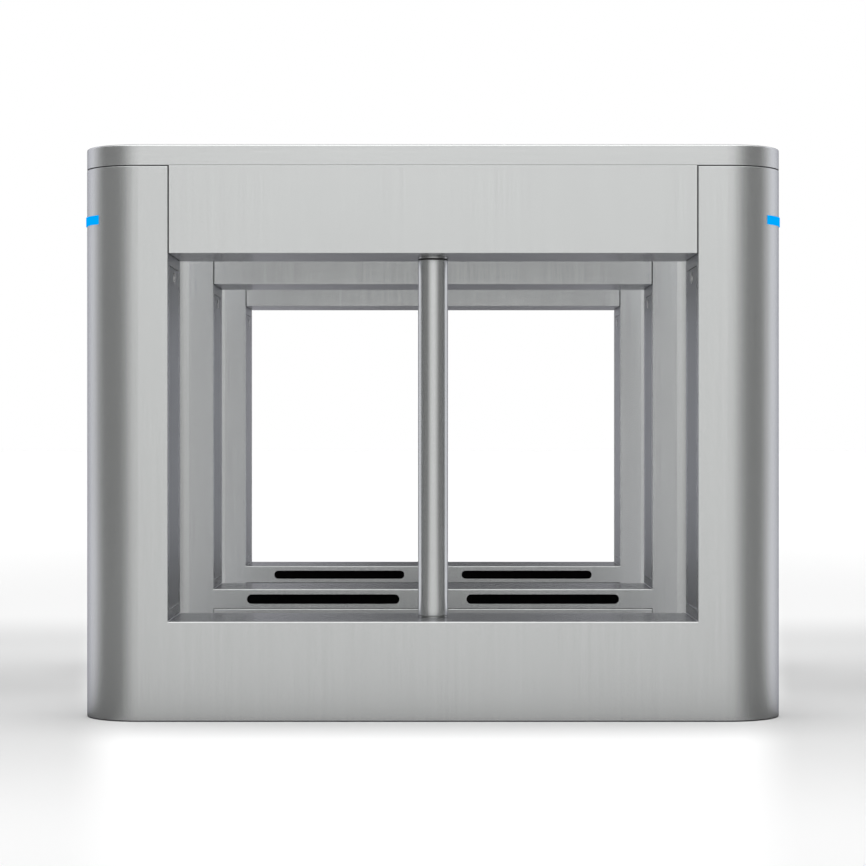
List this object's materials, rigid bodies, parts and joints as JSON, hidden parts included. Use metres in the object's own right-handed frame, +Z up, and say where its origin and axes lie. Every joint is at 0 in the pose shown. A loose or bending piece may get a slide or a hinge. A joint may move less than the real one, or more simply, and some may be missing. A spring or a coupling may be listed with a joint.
{
  "type": "swing barrier turnstile",
  "caption": "Swing barrier turnstile: round-ended brushed steel pedestals with window openings, swing poles and clear wings between lanes.",
  "frame": {"origin": "on the floor at the middle of the row of pedestals", "axes": "+X along the lanes, +Y across the lanes from the near to the far pedestal, +Z up"},
  "size_m": [1.2036, 1.9, 0.98],
  "materials": {
    "steel": "vertically brushed stainless steel sheet",
    "door_steel": "vertically brushed stainless steel sheet",
    "pole_steel": "fine satin stainless steel tube",
    "wing_clear": "clear polished panel",
    "light": "translucent blue light guide",
    "sensor": "black infrared window",
    "bearing": "black bearing housing",
    "lock": "nickel plated cam lock",
    "plate": "galvanised floor plate"
  },
  "bodies": {
    "pedestals": {"near_post_left": "steel", "near_post_right": "steel", "near_plinth": "steel", "near_plinth_cover": "steel", "near_beam": "steel", "near_lid": "steel", "near_jamb_doors": "door_steel", "near_door_locks": "lock", "near_light_bands": "light", "near_sensor_windows": "sensor", "near_bearings": "bearing", "near_floor_plates": "plate", "middle_post_left": "steel", "middle_post_right": "steel", "middle_plinth": "steel", "middle_plinth_covers": "steel", "middle_beam": "steel", "middle_lid": "steel", "middle_jamb_doors": "door_steel", "middle_door_locks": "lock", "middle_light_bands": "light", "middle_sensor_windows": "sensor", "middle_bearings": "bearing", "middle_floor_plates": "plate", "far_post_left": "steel", "far_post_right": "steel", "far_plinth": "steel", "far_plinth_cover": "steel", "far_beam": "steel", "far_lid": "steel", "far_jamb_doors": "door_steel", "far_door_locks": "lock", "far_light_bands": "light", "far_sensor_windows": "sensor", "far_bearings": "bearing", "far_floor_plates": "plate"},
    "near_gate": {"near_pole": "pole_steel", "near_wing": "wing_clear"},
    "middle_near_gate": {"middle_near_pole": "pole_steel", "middle_near_wing": "wing_clear"},
    "middle_far_gate": {"middle_far_pole": "pole_steel", "middle_far_wing": "wing_clear"},
    "far_gate": {"far_pole": "pole_steel", "far_wing": "wing_clear"}
  },
  "joints": [
    {"name": "near_swing", "type": "hinge", "parent": "pedestals", "child": "near_gate", "pos_m": [0, -0.85, 0.48], "axis": [0, 0, 1], "range_deg": [-90, 90]},
    {"name": "middle_near_swing", "type": "hinge", "parent": "pedestals", "child": "middle_near_gate", "pos_m": [0, -0.05, 0.48], "axis": [0, 0, 1], "range_deg": [-90, 90]},
    {"name": "middle_far_swing", "type": "hinge", "parent": "pedestals", "child": "middle_far_gate", "pos_m": [0, 0.05, 0.48], "axis": [0, 0, 1], "range_deg": [-90, 90]},
    {"name": "far_swing", "type": "hinge", "parent": "pedestals", "child": "far_gate", "pos_m": [0, 0.85, 0.48], "axis": [0, 0, 1], "range_deg": [-90, 90]}
  ]
}
